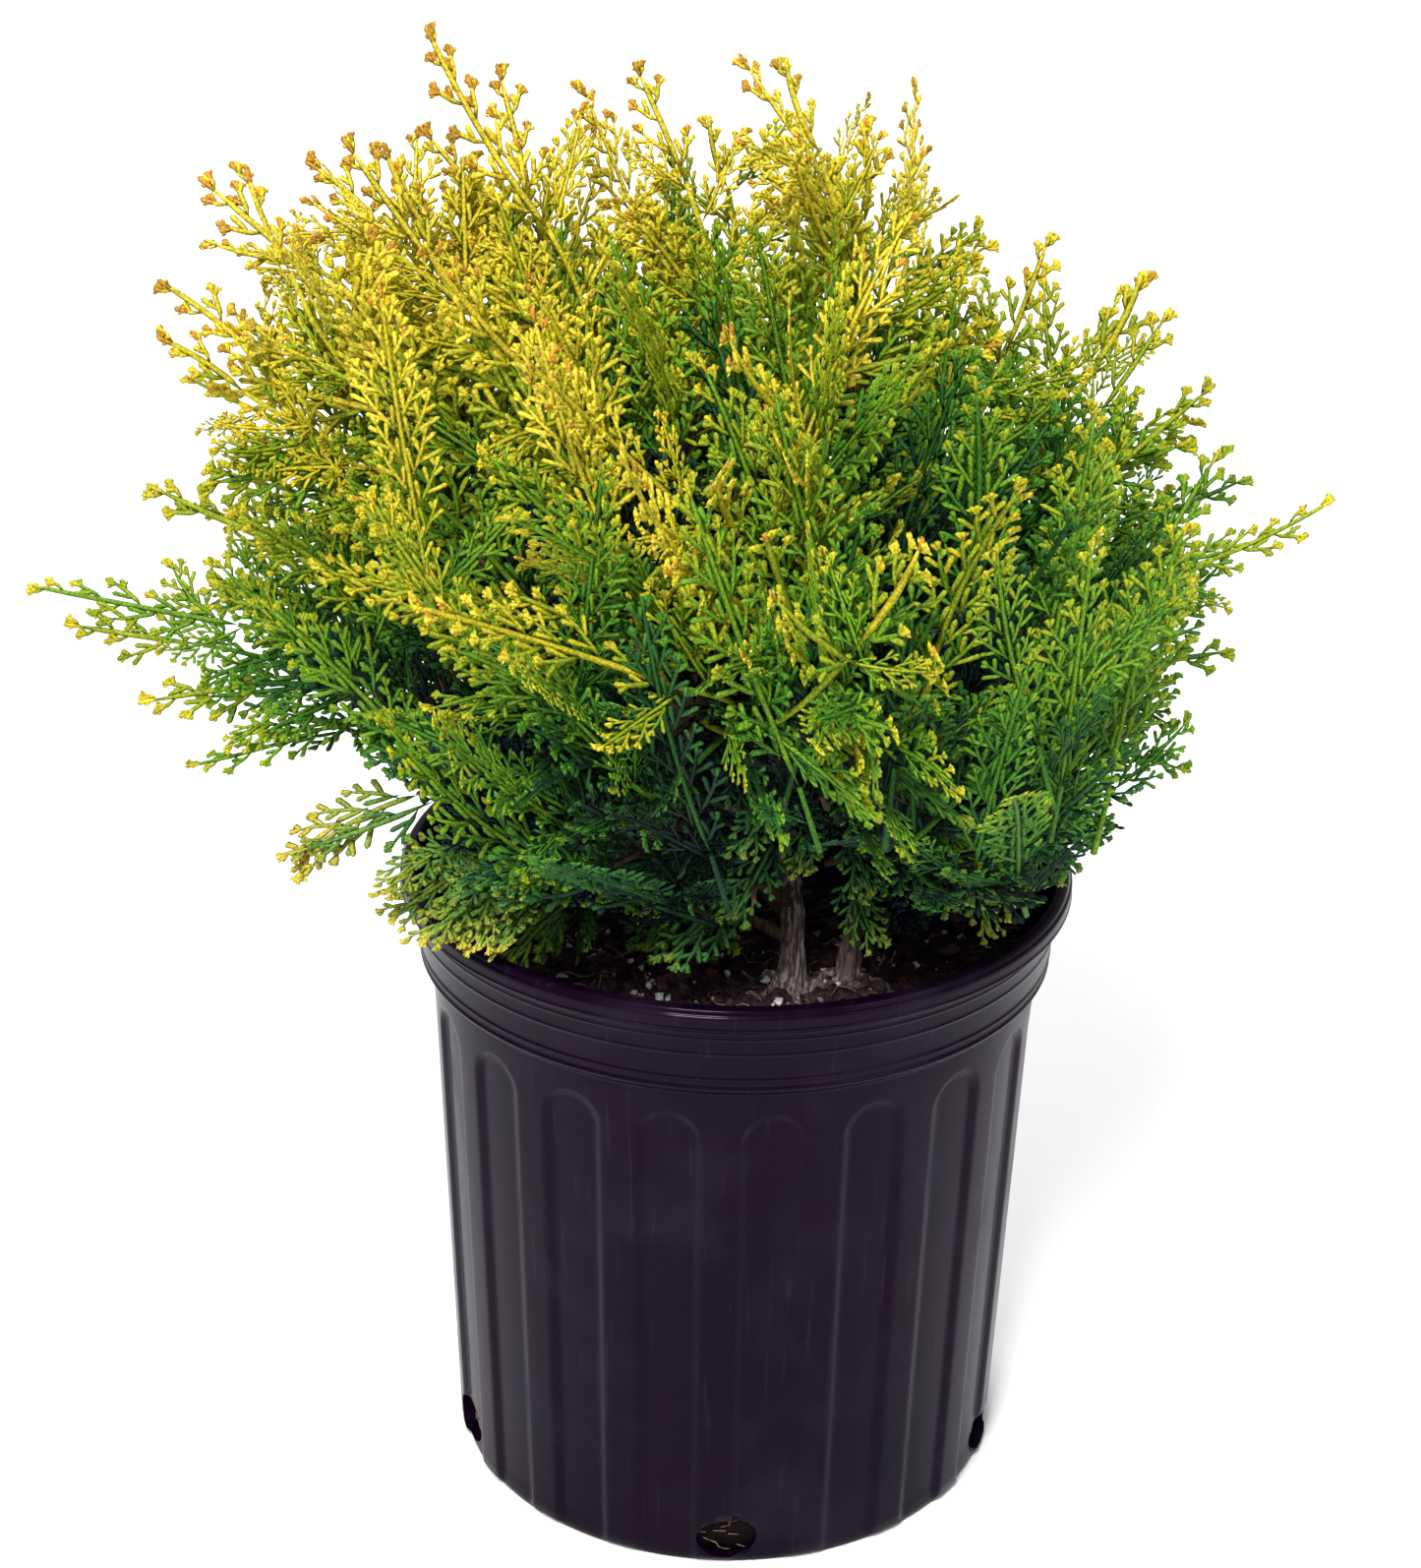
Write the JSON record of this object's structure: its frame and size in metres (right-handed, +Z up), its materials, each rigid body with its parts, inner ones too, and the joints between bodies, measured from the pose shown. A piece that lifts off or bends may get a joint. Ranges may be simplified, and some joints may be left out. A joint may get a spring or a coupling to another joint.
{
  "type": "potted sawara cypress",
  "caption": "Dwarf golden conifer with flat fern-like sprays on short woody stems, growing in a black fluted nursery pot filled with potting mix.",
  "frame": {"origin": "middle of the pot's flat underside, on the surface that the pot stands on", "axes": "+Z up; the picture looks along +Y from the -Y side, with +X to its right"},
  "size_m": [0.4103, 0.3511, 0.4919],
  "materials": {
    "pot_plastic": "satin",
    "potting_mix": "matte",
    "bark": "matte",
    "foliage_deep": "matte",
    "foliage_green": "matte",
    "foliage_gold": "matte"
  },
  "bodies": {
    "root": {"bough_crown_1": "bark", "bough_crown_2": "bark", "bough_crown_3": "bark", "bough_middle_1": "bark", "bough_middle_2": "bark", "bough_middle_3": "bark", "bough_middle_4": "bark", "bough_middle_5": "bark", "bough_middle_6": "bark", "bough_skirt_1": "bark", "bough_skirt_2": "bark", "bough_skirt_3": "bark", "bough_skirt_4": "bark", "bough_skirt_5": "bark", "bough_skirt_6": "bark", "bough_upper_1": "bark", "bough_upper_2": "bark", "bough_upper_3": "bark", "bough_upper_4": "bark", "bough_upper_5": "bark", "mass_crown_1": "foliage_gold", "mass_crown_2": "foliage_gold", "mass_crown_3": "foliage_gold", "mass_middle_1": "foliage_green", "mass_middle_2": "foliage_green", "mass_middle_3": "foliage_green", "mass_middle_4": "foliage_green", "mass_middle_5": "foliage_green", "mass_middle_6": "foliage_green", "mass_skirt_1": "foliage_deep", "mass_skirt_2": "foliage_deep", "mass_skirt_3": "foliage_deep", "mass_skirt_4": "foliage_deep", "mass_skirt_5": "foliage_deep", "mass_skirt_6": "foliage_deep", "mass_upper_1": "foliage_green", "mass_upper_2": "foliage_green", "mass_upper_3": "foliage_green", "mass_upper_4": "foliage_green", "mass_upper_5": "foliage_green", "pot": "pot_plastic", "potting_mix": "potting_mix", "side_stem": "bark", "trunk": "bark"}
  },
  "joints": []
}
